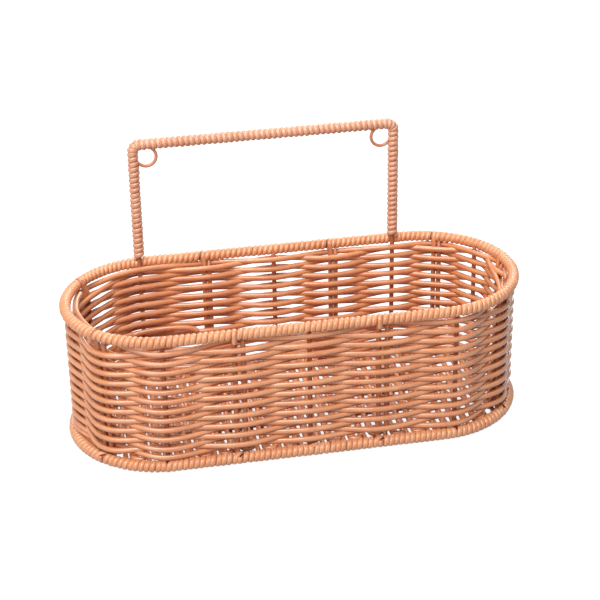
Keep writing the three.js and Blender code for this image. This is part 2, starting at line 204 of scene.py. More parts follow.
# The two ways across a line of places: sideways, and square to that on the side of the given ups
def waysAcross(places, ups, closed):
    if closed:
        ahead = np.roll(places, -1, 0) - places
        behind = places - np.roll(places, 1, 0)
    else:
        steps = np.diff(places, axis=0)
        ahead = np.vstack([steps, steps[-1:]])
        behind = np.vstack([steps[:1], steps])
    ahead /= np.maximum(np.linalg.norm(ahead, axis=1, keepdims=True), 1e-9)
    behind /= np.maximum(np.linalg.norm(behind, axis=1, keepdims=True), 1e-9)
    along = ahead + behind
    along /= np.linalg.norm(along, axis=1, keepdims=True)
    sideways = np.cross(along, ups)
    sideways /= np.linalg.norm(sideways, axis=1, keepdims=True)
    return sideways, np.cross(sideways, along)


# Sweeps a section along a line of places: one section for all, or one for each place. Open ends are closed
# with a fan of faces, and rounded over the length of a tip.
def sweep(places, ups, section, closed=False, tip=0.0):
    places = np.asarray(places, float)
    ups = np.broadcast_to(np.asarray(ups, float), places.shape)
    count = len(places)
    sides = section.shape[-2]
    sections = np.broadcast_to(section, (count, sides, 2))
    sideways, squareUp = waysAcross(places, ups, closed)
    size = np.ones(count)
    step = np.linalg.norm(np.diff(places, axis=0), axis=1)
    run = np.concatenate([[0.0], np.cumsum(step)])
    if tip > 0 and not closed:
        fromEnd = np.minimum(run, run[-1] - run)
        inTip = np.clip(fromEnd / tip, 0.0, 1.0)
        bluntEnd = 0.1
        size *= np.maximum(np.sqrt(1 - (1 - inTip) ** 2), bluntEnd)
    points = (
        places[:, None, :]
        + squareUp[:, None, :] * (sections[:, :, 0] * size[:, None])[..., None]
        + sideways[:, None, :] * (sections[:, :, 1] * size[:, None])[..., None]
    ).reshape(-1, 3)
    around = np.arange(sides) / sides
    uv = np.stack([np.tile(around, count), np.repeat(run * mm, sides)], -1)
    spans = count if closed else count - 1
    near = np.arange(spans)[:, None] * sides
    far = ((np.arange(spans)[:, None] + 1) % count) * sides
    side = np.arange(sides)[None, :]
    nextSide = (side + 1) % sides
    faces = np.stack([near + side, near + nextSide, far + nextSide, far + side], -1).reshape(-1, 4)
    if closed:
        return points, faces, uv
    caps = []
    for index, end in enumerate((places[0], places[-1])):
        points = np.vstack([points, end])
        uv = np.vstack([uv, [0.5, run[-1] * mm * index]])
        middle = len(points) - 1
        first = 0 if index == 0 else (count - 1) * sides
        for corner in range(0, sides, 2):
            a, b, c = corner, (corner + 1) % sides, (corner + 2) % sides
            loop = [middle, first + c, first + b, first + a]
            caps.append(loop if index == 0 else loop[::-1])
    return points, np.vstack([faces, caps]), uv


def joined(shapes):
    points, faces, uvs, base = [], [], [], 0
    for shape in shapes:
        points.append(shape[0])
        faces.append(shape[1] + base)
        uvs.append(shape[2])
        base += len(shape[0])
    return np.vstack(points), np.vstack(faces), np.vstack(uvs)


# Adds places near both ends, so that the tips can be rounded
def withTips(places, tip):
    places = np.asarray(places, float)
    run = np.concatenate([[0.0], np.cumsum(np.linalg.norm(np.diff(places, axis=0), axis=1))])
    near = np.array([0.0, 0.06, 0.2, 0.45, 0.75, 1.0]) * tip
    clearOfTip = tip * 1.05
    between = run[(run > clearOfTip) & (run < run[-1] - clearOfTip)]
    marks = np.concatenate([near, between, run[-1] - near[::-1]])
    return np.stack([np.interp(marks, run, places[:, axis]) for axis in range(3)], -1)


# A curve through the points that bends mostly at the points. A low tension gives nearly straight pieces.
def smoothLine(points, samples, tension):
    points = np.asarray(points, float)
    steps = np.diff(points, axis=0)
    lengths = np.linalg.norm(steps, axis=1, keepdims=True)
    aims = steps / lengths
    shorter = lengths[:-1] / (lengths[:-1] + lengths[1:])
    ways = np.vstack([aims[:1], aims[:-1] * (1 - shorter) + aims[1:] * shorter, aims[-1:]])
    ways /= np.linalg.norm(ways, axis=1, keepdims=True)
    shares = (np.arange(samples) / samples)[None, :, None]
    starts, ends = points[:-1, None, :], points[1:, None, :]
    leave = ways[:-1, None, :] * lengths[:, None, :] * tension
    arrive = ways[1:, None, :] * lengths[:, None, :] * tension
    curve = (
        starts * (2 * shares ** 3 - 3 * shares ** 2 + 1)
        + leave * (shares ** 3 - 2 * shares ** 2 + shares)
        + ends * (3 * shares ** 2 - 2 * shares ** 3)
        + arrive * (shares ** 3 - shares ** 2)
    )
    return np.vstack([curve.reshape(-1, 3), points[-1:]])


# Small random shifts that change evenly with the turns. The setting has their size, and how many turns lie
# between two draws.
def drift(noise, setting, turns, lastMark):
    amount, every = setting
    marks = np.arange(0, lastMark, every)
    return np.interp(turns, marks, [noise.gauss(0, amount) for _ in marks])


# Materials

# A value that is an output of another node is linked, and any other is set on the input itself.
def setInputs(tree, node, values):
    for name, value in values.items():
        if isinstance(value, bpy.types.NodeSocket):
            tree.links.new(value, node.inputs[name])
        else:
            node.inputs[name].default_value = value


def addNode(tree, kind, values, **settings):
    node = tree.nodes.new(kind)
    for name, setting in settings.items():
        setattr(node, name, setting)
    setInputs(tree, node, values)
    return node


def calculated(tree, operation, *values):
    return addNode(tree, "ShaderNodeMath", dict(enumerate(values)), operation=operation).outputs[0]


def mapped(tree, value, start, end, atStart, atEnd):
    values = {"Value": value, "From Min": start, "From Max": end, "To Min": atStart, "To Max": atEnd}
    return addNode(tree, "ShaderNodeMapRange", values).outputs["Result"]


def mixed(tree, share, first, second):
    values = {"Factor": share, "A": first, "B": second}
    return addNode(tree, "ShaderNodeMix", values, data_type="RGBA").outputs["Result"]


def noiseTexture(tree, place, scale, detail, roughness):
    values = {"Vector": place, "Scale": scale, "Detail": detail, "Roughness": roughness}
    return addNode(tree, "ShaderNodeTexNoise", values).outputs["Fac"]


plasticInputs = {
    "Dark": "NodeSocketColor",
    "Middle": "NodeSocketColor",
    "Light": "NodeSocketColor",
    "Line Scale": "NodeSocketVector",
    "Cloud Scale": "NodeSocketFloat",
    "Grain Scale": "NodeSocketFloat",
    "Least Roughness": "NodeSocketFloat",
    "Most Roughness": "NodeSocketFloat",
    "Shade": "NodeSocketFloat",
    "Shade Full": "NodeSocketFloat",
    "Shade None": "NodeSocketFloat",
    "Shade Color": "NodeSocketColor",
}
plasticOutputs = {"Color": "NodeSocketColor", "Roughness": "NodeSocketFloat", "Height": "NodeSocketFloat"}


# Extruded plastic: fine lines along the strand, a cloudy tone, a grain, and a painted shade on the sides and
# underside, where strands touch.
# The painted shade is full at one cosine of the angle from the strand's upper side, and ends at another.
def plasticGroup():
    group = bpy.data.node_groups.new("extrudedPlastic", "ShaderNodeTree")
    for name, kind in plasticInputs.items():
        group.interface.new_socket(name, in_out="INPUT", socket_type=kind)
    for name, kind in plasticOutputs.items():
        group.interface.new_socket(name, in_out="OUTPUT", socket_type=kind)
    given = addNode(group, "NodeGroupInput", {}).outputs
    place = addNode(group, "ShaderNodeTexCoord", {}).outputs
    stretch = {"Vector": place["UV"], "Scale": given["Line Scale"]}
    stretched = addNode(group, "ShaderNodeMapping", stretch).outputs["Vector"]
    lines = noiseTexture(group, stretched, scale=1.0, detail=3.0, roughness=0.6)
    cloud = noiseTexture(group, place["Object"], given["Cloud Scale"], detail=3.0, roughness=0.55)
    grain = noiseTexture(group, place["Object"], given["Grain Scale"], detail=2.0, roughness=0.6)

    lineShare, cloudShare = 0.4, 0.6
    cloudPart = calculated(group, "MULTIPLY", cloud, cloudShare)
    tone = calculated(group, "MULTIPLY_ADD", lines, lineShare, cloudPart)
    darkTone, middleTone, lightTone = 0.36, 0.5, 0.64
    lowerHalf = mapped(group, tone, darkTone, middleTone, 0.0, 1.0)
    upperHalf = mapped(group, tone, middleTone, lightTone, 0.0, 1.0)
    darker = mixed(group, lowerHalf, given["Dark"], given["Middle"])
    cloudy = mixed(group, upperHalf, darker, given["Light"])

    # Painted shade: the colour turns towards Shade Color on the sides and underside of the strand.
    around = addNode(group, "ShaderNodeSeparateXYZ", {"Vector": place["UV"]}).outputs["X"]
    facing = calculated(group, "COSINE", calculated(group, "MULTIPLY", around, turn))
    shade = mapped(group, facing, given["Shade Full"], given["Shade None"], given["Shade"], 0.0)
    grainLow, grainHigh, grainHeight = 0.3, 0.7, 0.5
    roughnesses = given["Least Roughness"], given["Most Roughness"]
    made = {
        "Color": mixed(group, shade, cloudy, given["Shade Color"]),
        "Roughness": mapped(group, grain, grainLow, grainHigh, *roughnesses),
        "Height": calculated(group, "MULTIPLY_ADD", grain, grainHeight, lines),
    }
    addNode(group, "NodeGroupOutput", made)
    return group


plastic = plasticGroup()


def plasticMaterial(name, finish, bumpDistance, specular):
    material = bpy.data.materials.new(name)
    material.use_nodes = True
    tree = material.node_tree
    pattern = addNode(tree, "ShaderNodeGroup", finish, node_tree=plastic).outputs
    relief = {"Strength": 0.5, "Distance": bumpDistance, "Height": pattern["Height"]}
    bump = addNode(tree, "ShaderNodeBump", relief).outputs["Normal"]
    surface = {
        "Base Color": pattern["Color"],
        "Roughness": pattern["Roughness"],
        "Normal": bump,
        "IOR": 1.48,
        "Specular IOR Level": specular,
    }
    setInputs(tree, tree.nodes["Principled BSDF"], surface)
    return material


# The Shade inputs paint shade on the sides and underside of each strand.
strandFinish = {
    "Dark": (0.63, 0.23, 0.092, 1),
    "Middle": (0.71, 0.285, 0.122, 1),
    "Light": (0.77, 0.345, 0.162, 1),
    "Line Scale": (9.0, 120.0, 1.0),
    "Cloud Scale": 60.0,
    "Grain Scale": 900.0,
    "Least Roughness": 0.2,
    "Most Roughness": 0.3,
    "Shade": 0.65,
    "Shade Full": -0.6,
    "Shade None": 0.3,
    "Shade Color": (0.42, 0.12, 0.05, 1),
}
# The stakes are the weavers' plastic, given a darker colour that paints the shade they stand in behind the
# weavers.
shadedStakeFinish = {
    **strandFinish,
    "Dark": (0.48, 0.17, 0.077, 1),
    "Middle": (0.555, 0.215, 0.103, 1),
    "Light": (0.61, 0.26, 0.134, 1),
    "Shade": 0.0,
}
# On the windings the painted shade lies on the sides of each turn, in the valleys where the turns touch.
wrapFinish = {
    **strandFinish,
    "Dark": (0.66, 0.265, 0.115, 1),
    "Middle": (0.73, 0.32, 0.15, 1),
    "Light": (0.785, 0.38, 0.197, 1),
    "Least Roughness": 0.26,
    "Most Roughness": 0.4,
    "Shade": 0.55,
    "Shade Full": -0.15,
    "Shade None": 0.5,
}
hangerFinish = {
    **wrapFinish,
    "Dark": (0.64, 0.295, 0.17, 1),
    "Middle": (0.71, 0.355, 0.22, 1),
    "Light": (0.77, 0.42, 0.275, 1),
}
wireFinish = {
    **shadedStakeFinish,
    "Dark": (0.36, 0.11, 0.05, 1),
    "Middle": (0.44, 0.15, 0.07, 1),
    "Light": (0.5, 0.18, 0.09, 1),
    "Line Scale": (5.0, 60.0, 1.0),
    "Cloud Scale": 90.0,
    "Grain Scale": 1200.0,
    "Least Roughness": 0.36,
    "Most Roughness": 0.5,
}
strandMaterial = plasticMaterial("strand", strandFinish, bumpDistance=0.00006, specular=0.85)
wrapMaterial = plasticMaterial("wrap", wrapFinish, bumpDistance=0.00006, specular=0.75)
hangerMaterial = plasticMaterial("hangerWrap", hangerFinish, bumpDistance=0.0001, specular=0.7)
shadedStakeMaterial = plasticMaterial("stake", shadedStakeFinish, bumpDistance=0.00012, specular=0.4)
wireMaterial = plasticMaterial("coatedWire", wireFinish, bumpDistance=0.00006, specular=0.4)
print("materials done")


# Places of the stakes round the wall: the hanger's two legs, the single uprights and the pairs of strands

# The two strands of a pair stand to either side of its middle by the spread. One of them is looped: its flat
# end hangs between two heights below the middle of the rim, and from there it goes over the rim, down the
# wall and under the base ring. Angles go from the outside of the basket over the top. On its way the strand
# slips sideways. Up to some distance from the rings it has the brighter colour of the weavers, and in the
# wall between them the darker stake colour, which paints the shade behind the weavers.
stakePairs = {
    "frontSpread": 2.7,
    "backSpread": 1.8,
    "loopWidth": 3.5,
    "loopThickness": 2.2,
    "proud": 0.05,
    "hang": (5.8, 0.6),
    "hangTilt": 0.12,
    "hangFlatness": 0.6,
    "overRim": (0, 178),
    "underRing": (184, 405),
    "roomAtRings": 4.0,
    "slipAtRim": 0.5,
    "slipOverRim": 0.9,
    "slipUnderRing": 0.6,
    "tip": 1.2,
    "unshadedNearRim": 6.0,
    "unshadedNearRing": 5.0,
}

barZ = hangerHigh[2] - hangerWrapRadius
legX = (hangerLow[0] + hangerWrapRadius, hangerHigh[0] - hangerWrapRadius)


# Is 1 where the outline runs to the right, as at the back, and -1 where it runs to the left
def rightward(distance):
    _, _, along = wall.at(distance)
    return math.copysign(1, along[0])


def pairDistance(plainNode, loopedNode):
    distance = wall.distanceOf(middleOf(plainNode))
    _, _, along = wall.at(distance)
    apart = abs(np.dot(middleOf(plainNode) - middleOf(loopedNode), along))
    return distance - rightward(distance) * apart / 2


def distanceAtX(x):
    past = max(abs(x) - halfStraight, 0)
    straight = min(abs(x), halfStraight)
    return math.copysign(straight + wallRadius * math.asin(past / wallRadius), x)


def placedStakes():
    found = [(distanceAtX(x), "leg", None) for x in legX]
    found += [(wall.distanceOf(middleOf(name)), "wire", name) for name in uprightNodes]
    found += [(pairDistance(*pair), "pair", pair) for pair in zip(plainNodes, loopedNodes)]
    found = [(distance % wall.length, kind, nodes) for distance, kind, nodes in found]
    leftLeg = found[0][0]
    return sorted(found, key=lambda stake: (stake[0] - leftLeg) % wall.length)


def pairSpread(distance):
    place, _, _ = wall.at(distance)
    return stakePairs["backSpread"] if place[1] > 0 else stakePairs["frontSpread"]


def ringDistance(wallDistance):
    place, _, _ = wall.at(wallDistance)
    return ring.distanceOf(place) % ring.length


stakes = placedStakes()
stakeCount = len(stakes)
print("stakes placed", stakeCount)


# Windings of the rim and of the base ring

# Angles go round the wire from the outside of the basket over the top. A looped strand covers those from
# loopFrom to loopTo, and the winding crosses over to its other side at crossAt. The parting of the turns at
# an upright or a leg has its size, the angle where it is widest, and how far round from there it reaches.
rimTurns = {
    "pitch": 3.58,
    "wobble": (0.13, 0.5),
    "ripple": (0.06, 0.7),
    "loopFrom": -54,
    "loopTo": 200,
    "crossAt": 253,
    "parting": {"wire": (1.3, 250, 80), "leg": (1.9, 190, 100)},
    "seed": 3,
}
baseTurns = {
    "pitch": 3.5,
    "wobble": (0.14, 0.5),
    "ripple": (0.07, 0.7),
    "loopFrom": -200,
    "loopTo": 45,
    "crossAt": 102,
    "parting": {"wire": (1.2, 115, 70), "leg": (1.2, 115, 70)},
    "seed": 5,
}


# Where the turns lie along the ring. They advance against the direction of the outline, evenly between two
# looped strands, and skip each looped strand within a quarter of a turn.
def ringTurnPlaces(settings):
    pitch = settings["pitch"]
    width = stakePairs["loopWidth"]
    middleAngle = (settings["loopFrom"] + settings["loopTo"]) / 2
    phase = ((settings["crossAt"] - middleAngle) % 360) / 360
    crossing = 0.25
    pairs = [distance for distance, kind, _ in stakes if kind == "pair"]
    loops = [ringDistance(distance) - rightward(distance) * pairSpread(distance) for distance in pairs]
    loops = sorted((loop % ring.length for loop in loops), reverse=True)
    turnAt = 0.0
    knotTurns, knotPlaces = [], []
    for index, loop in enumerate(loops + [loops[0] - ring.length]):
        if index > 0:
            room = loops[index - 1] - loop - width
            turnAt += round(room / pitch)
        knotTurns += [turnAt - crossing / 2, turnAt + crossing / 2]
        knotPlaces += [
            loop + (width + pitch) / 2 - pitch * (phase - crossing / 2),
            loop - (width + pitch) / 2 + pitch * (1 - phase - crossing / 2),
        ]
    steps = int(turnAt * woundStrand["stepsPerTurn"])
    turns = np.arange(steps) * turnAt / steps
    return turns, np.interp(turns, knotTurns, knotPlaces), turnAt


# The turns part where the uprights and the hanger's legs pass through them
def partedAtPosts(distance, angle, settings):
    reach = 4.0  # along the ring
    for stakeDistance, kind, _ in stakes:
        if kind == "pair":
            continue
        opening, centre, spread = settings["parting"][kind]
        offset = (distance - ringDistance(stakeDistance) + ring.length / 2) % ring.length - ring.length / 2
        away = (angle - math.radians(centre) + math.pi) % turn - math.pi
        facing = np.clip(np.cos(np.clip(away / math.radians(spread), -1, 1) * math.pi / 2), 0, 1)
        distance = distance + np.sign(offset) * opening * np.exp(-np.abs(offset) / reach) * facing ** 0.7
    return distance


def ringWinding(height, wrapRadius, settings):
    noise = random.Random(settings["seed"])
    turns, distance, turnCount = ringTurnPlaces(settings)
    pastLastTurn = turnCount + 2
    angle = turn * turns + math.radians(settings["crossAt"])
    distance = distance + drift(noise, settings["wobble"], turns, pastLastTurn)
    distance = partedAtPosts(distance, angle, settings)
    radius = wrapRadius - woundStrand["crown"] + drift(noise, settings["ripple"], turns, pastLastTurn)
    place, outward, _ = ring.at(distance)
    direction = outward * np.cos(angle)[:, None] + upward * np.sin(angle)[:, None]
    places = place + direction * radius[:, None]
    places[:, 2] += height
    return sweep(places, direction, woundSection, closed=True)


rimWinding = ringWinding(rimZ, rimWrapRadius, rimTurns)
baseWinding = ringWinding(baseRingZ, baseWrapRadius, baseTurns)
makePiece("rimWinding", rimWinding, "wrap", "rim_wrap", wrapMaterial)
makePiece("baseRingWinding", baseWinding, "wrap", "base_ring_wrap", wrapMaterial)
print("ring windings done")


# Hanger: wire, winding and eyes

# The turns fan out in the two bends, where there are more of them to a length of wire. The left leg is bare
# for a short way above the rim.
hangerTurns = {
    "pitch": 3.58,
    "wobble": (0.08, 0.7),
    "ripple": (0.06, 0.7),
    "bend": 4.5,
    "bendShare": 1.6,
    "footRoom": 1.2,
    "bareLeft": 2.6,
    "tip": 2.0,
    "wireSamples": 300,
    "seed": 11,
}

# An eye's wire leaves the winding of the bar, turns round inside the corner and enters the winding of the
# leg. Its middle is inset from the corner, and its angles are counted from the way of the bar upwards.
eye = {"wireRadius": 1.1, "sides": 14, "samples": 40, "inset": 8.5, "from": 52, "to": -142}

leftTop, rightTop = (np.array([x, wall.at(distanceAtX(x))[0][1], barZ]) for x in legX)
barWay = (rightTop - leftTop) / np.linalg.norm(rightTop - leftTop)
hangerFacing = np.cross(upward, barWay)


def hangerLengths(footZ):
    bend = hangerTurns["bend"]
    return bend * math.pi / 2, barZ - bend - footZ, np.linalg.norm(rightTop - leftTop) - 2 * bend


# Places on the hanger's wire from the left foot over the bar to the right foot, and the outer side of the
# bend there
def hangerAt(footZ, distances):
    bend = hangerTurns["bend"]
    quarter, leg, bar = hangerLengths(footZ)
    places, outs = [], []
    for travelled in distances:
        if travelled < leg:
            places.append(leftTop + upward * (travelled - leg - bend))
            outs.append(-barWay)
        elif travelled < leg + quarter:
            angle = (travelled - leg) / bend
            out = -barWay * math.cos(angle) + upward * math.sin(angle)
            places.append(leftTop + barWay * bend - upward * bend + out * bend)
            outs.append(out)
        elif travelled < leg + quarter + bar:
            places.append(leftTop + barWay * (bend + travelled - leg - quarter))
            outs.append(upward)
        elif travelled < leg + 2 * quarter + bar:
            angle = (travelled - leg - quarter - bar) / bend
            out = upward * math.cos(angle) + barWay * math.sin(angle)
            places.append(rightTop - barWay * bend - upward * bend + out * bend)
            outs.append(out)
        else:
            places.append(rightTop - upward * (bend + travelled - leg - 2 * quarter - bar))
            outs.append(barWay)
    return np.array(places), np.array(outs)


def hangerWinding():
    noise = random.Random(hangerTurns["seed"])
    pitch = hangerTurns["pitch"]
    footZ = hangerLow[2] + hangerTurns["footRoom"]
    quarter, leg, bar = hangerLengths(footZ)
    spans = np.cumsum([0.0, leg, quarter, bar, quarter, leg])
    shares = np.array([1.0, hangerTurns["bendShare"], 1.0, hangerTurns["bendShare"], 1.0])
    turnMarks = np.concatenate([[0.0], np.cumsum(np.diff(spans) * shares / pitch)])
    turns = np.arange(hangerTurns["bareLeft"] / pitch, turnMarks[-1], 1 / woundStrand["stepsPerTurn"])
    pastLastTurn = turnMarks[-1] + 1
    shift = drift(noise, hangerTurns["wobble"], turns, pastLastTurn)
    ripple = drift(noise, hangerTurns["ripple"], turns, pastLastTurn)
    travelled = np.clip(np.interp(turns, turnMarks, spans) + shift, 0, spans[-1])
    places, outs = hangerAt(footZ, travelled)
    angle = turns * turn
    direction = outs * np.cos(angle)[:, None] - hangerFacing * np.sin(angle)[:, None]
    radius = hangerWrapRadius - woundStrand["crown"] + ripple
    return sweep(places + direction * radius[:, None], direction, woundSection, tip=hangerTurns["tip"])


def hangerWire():
    low, _ = boxOf("hanger_wire")
    quarter, leg, bar = hangerLengths(low[2])
    travelled = np.linspace(0, 2 * quarter + 2 * leg + bar, hangerTurns["wireSamples"])
    line, _ = hangerAt(low[2], travelled)
    return sweep(line, hangerFacing, wireSection)


def hangingEye(node, corner, side):
    low, high = boxOf(node)
    inner = corner + barWay * side * eye["inset"] - upward * eye["inset"]
    radius = abs((high[0] if side > 0 else low[0]) - inner[0]) - eye["wireRadius"]
    angles = np.linspace(math.radians(eye["from"]), math.radians(eye["to"]), eye["samples"])
    ways = [barWay * side * radius * math.cos(angle) + upward * radius * math.sin(angle) for angle in angles]
    places = np.array([inner + way for way in ways])
    return sweep(places, hangerFacing, roundSection(eye["sides"], eye["wireRadius"], eye["wireRadius"]))


makePiece("hangerWinding", hangerWinding(), "wrap", "hanger_wrap", hangerMaterial)
makePiece("hangerWire", hangerWire(), "wire", "hanger_wire", wireMaterial)
leftEye = hangingEye("hanging_eye_left", leftTop, 1)
rightEye = hangingEye("hanging_eye_right", rightTop, -1)
makePiece("hangingEyeLeft", leftEye, "wire", "hanging_eye_left", wrapMaterial)
makePiece("hangingEyeRight", rightEye, "wire", "hanging_eye_right", wrapMaterial)
print("hanger done")


# Uprights and pairs of strands

# Foot and head are heights from the middles of the base ring and the rim. The head leans out of the wall
# over the last stretch below it.
upright = {"foot": -1.0, "head": 3.1, "lean": 1.5}
plainStrand = {"foot": 2.0, "head": -0.8, "lean": 1.9}
stakeShape = {"samples": 16, "sway": 0.35, "leanLength": 9.0, "tip": 0.4}


def uprightTube(distance, ends, section, seed):
    noise = random.Random(seed)
    samples = stakeShape["samples"]
    top = rimZ + ends["head"]
    heights = np.linspace(baseRingZ + ends["foot"], top, samples)
    sway = noise.uniform(-stakeShape["sway"], stakeShape["sway"]) * np.sin(np.linspace(0, math.pi, samples))
    outs = ends["lean"] * np.clip(1 - (top - heights) / stakeShape["leanLength"], 0, 1) ** 2
    places = wall.near(distance + sway, outs, heights)
    _, _, along = wall.at(distance)
    return sweep(places, along, section, tip=stakeShape["tip"])


# Runs down the wall between a flattened loop over the rim wire, which ends outside below the rim, and a
# flattened hook under the base ring wire
def loopedStrand(distance, spread):
    _, _, along = wall.at(distance)
    run = ringDistance(distance - rightward(distance) * spread)
    half = stakePairs["loopThickness"] / 2
    rimRadius = rimWrapRadius - half + stakePairs["proud"]
    baseRadius = baseWrapRadius - half + stakePairs["proud"]
    room = stakePairs["roomAtRings"]
    outs, heights, slips, flats = [], [], [], []

    def add(out, height, slip, flat):
        outs.append(out)
        heights.append(height)
        slips.append(slip)
        flats.append(flat)

    for drop in np.linspace(*stakePairs["hang"], 9):
        out = rimRadius - stakePairs["hangTilt"] * drop
        add(out, rimZ - drop, stakePairs["slipAtRim"], stakePairs["hangFlatness"])
    for angle in np.radians(np.linspace(*stakePairs["overRim"], 20)):
        slip = stakePairs["slipAtRim"] - angle / math.pi * stakePairs["slipOverRim"]
        add(rimRadius * math.cos(angle), rimZ + rimRadius * math.sin(angle), slip, 1)
    for height in np.linspace(rimZ - room, baseRingZ + room, 24):
        add(-wallInset, height, 0, 0)
    for angle in np.radians(np.linspace(*stakePairs["underRing"], 24)):
        slip = -(angle - math.pi) / math.pi * stakePairs["slipUnderRing"]
        add(baseRadius * math.cos(angle), baseRingZ + baseRadius * math.sin(angle), slip, 1)
    # The strand changes from flat to round over five places
    flats = np.convolve(np.pad(flats, 2, mode="edge"), np.ones(5) / 5, "valid")[:, None]
    places = ring.near(run + np.array(slips), np.array(outs), np.array(heights))
    angles = (np.arange(strand["sides"]) * turn / strand["sides"])[None, :]
    halfWidth = strand["radius"] * (1 - flats) + stakePairs["loopWidth"] / 2 * flats
    halfThick = strand["radius"] * (1 - flats) + half * flats
    sections = np.stack([np.cos(angles) * halfWidth, np.sin(angles) * halfThick], -1)
    return sweep(places, along, sections, tip=stakePairs["tip"])


def makeUpright(distance, node, seed):
    tube = uprightTube(distance, upright, wireSection, seed)
    makePiece(node.replace("upright_wire_", "uprightWire"), tube, "wire", node, wireMaterial)


def makePair(distance, plain, looped, seed):
    spread = pairSpread(distance)
    tube = uprightTube(distance + rightward(distance) * spread, plainStrand, strandSection, seed)
    makePiece(plain.replace("plain_stake_", "plainStake"), tube, "strand", plain, shadedStakeMaterial)
    loop = loopedStrand(distance, spread)
    name = looped.replace("looped_stake_", "loopedStake")
    piece = makePiece(name, loop, "strand", looped, strandMaterial, shadedStakeMaterial)
    # Faces in the wall, away from the rings, take the darker stake material: a painted shade behind the
    # weavers.
    heights = np.array([polygon.center[2] for polygon in piece.data.polygons]) / mm
    aboveRing = heights > baseRingZ + stakePairs["unshadedNearRing"]
    belowRim = heights < rimZ - stakePairs["unshadedNearRim"]
    piece.data.polygons.foreach_set("material_index", (aboveRing & belowRim).astype(np.int32))


for index, (distance, kind, nodes) in enumerate(stakes):
    if kind == "wire":
        makeUpright(distance, nodes, index)
    if kind == "pair":
        makePair(distance, *nodes, index)
print("stakes done")


# Wall: two weavers go in and out of the stakes, one half a row above the other

# Room is how far to either side of a stake the strand stays level. Near the foot of the wall the rows settle
# down, and near the rim the upper weaver presses on the row below.
weave = {
    "rows": 12,
    "halfHeight": 1.92,
    "halfDepth": 1.5,
    "clearance": 0.04,
    "pairRoom": 2.2,
    "wireRoom": 1.4,
    "samples": 16,
    "tension": 0.8,
    "heightNoise": 0.2,
    "outNoise": 0.12,
    "highSettle": 2.0,
    "lowSettle": 1.0,
    "settleRows": 1.6,
    "lowestOutside": 9.9,
    "lowestInside": 9.3,
    "press": 1.8,
    "pressRows": 1.2,
    "leftEndStake": 15,
    "leftEndLift": 1.0,
    "startBack": 12.0,
    "startOut": -1.5,
    "looseSamples": 8,
    "looseTension": 0.9,
}

# Shifts are heights above a weaver's even row at each stake, from the left leg clockwise. Both weavers climb
# to the next row round the left end. The first step is counted from the left leg in the lowest row, and the
# last one in the highest. The tail is tucked away under the rim. The loose length is a strand of its own:
# one inside the back wall and one laid in at the right end. Points of both are distances along the wall from
# a stake, out of the wall and above the floor.
highWeaver = {
    "piece": "wallWeaver1",
    "node": "wall_weaver_1",
    "isHigh": True,
    "shifts": [0.8, -0.4, -1.5, -1.0, -0.5, -0.3, -0.2, 0, 0, 0, 0, 0.1, 0.2, 0.1, -0.8, -1.7, 0.5, 4.0],
    "firstStep": -1,
    "lastStep": 7,
    "tail": [(10, 0.2, 86.6), (20, -1.0, 87.2)],
    "looseStake": 0,
    "loose": [
        (-9, -3.0, 41.8),
        (-3.7, -4.0, 42.9),
        (12.8, -4.6, 44.2),
        (24.3, -5.8, 44.3),
        (31.1, -6.4, 43.5),
        (34.4, -6.6, 42.2),
        (36.3, -6.6, 40.5),
    ],
    "seed": 21,
}
lowWeaver = {
    "piece": "wallWeaver2",
    "node": "wall_weaver_2",
    "isHigh": False,
    "shifts": [-1.2, 0.5, 0.1, -0.7, -0.3, 0, 0.2, 0.3, 0.2, 0, 0, 0.3, 0.6, -0.6, -2.1, -0.9, 0.8, 3.6],
    "firstStep": -3,
    "lastStep": 14,
    "tail": [(38, -3.1, 87.2), (58, -3.6, 90.0), (80, -3.8, 90.8), (100, -3.4, 90.4), (110, -2.4, 89.6)],
    "looseStake": 7,
    "loose": [
        (-12.4, -1.2, 87.3),
        (-5.7, -3.4, 85.5),
        (5.2, -4.8, 83.3),
        (18.9, -5.4, 82.3),
        (27.0, -5.0, 81.5),
    ],
    "seed": 22,
}

lowFirst = boxOf("wall_weaver_2")[0][2] + solidStrandRadius
rowPitch = (boxOf("wall_weaver_1")[0][2] + solidStrandRadius - lowFirst) * 2
weaverSection = roundSection(strand["sides"], weave["halfHeight"], weave["halfDepth"])


# Height of a weaver at a stake, before its random shift
def settled(height, weaver, stake, row, side):
    isLeftEnd = stake >= weave["leftEndStake"]
    settling = math.exp(-row / weave["settleRows"])
    if weaver["isHigh"] and side > 0:
        height -= weave["highSettle"] * settling
        height -= weave["press"] * math.exp((row - weave["rows"] + 1) / weave["pressRows"])
    if not weaver["isHigh"] and not isLeftEnd:
        height -= weave["lowSettle"] * settling
    if not weaver["isHigh"] and isLeftEnd and row == 0:
        height += weave["leftEndLift"]
    return max(height, weave["lowestOutside"] if side > 0 else weave["lowestInside"])


def nearStake(stake, points):
    return [wall.near(stakes[stake][0] + along, out, height) for along, out, height in points]


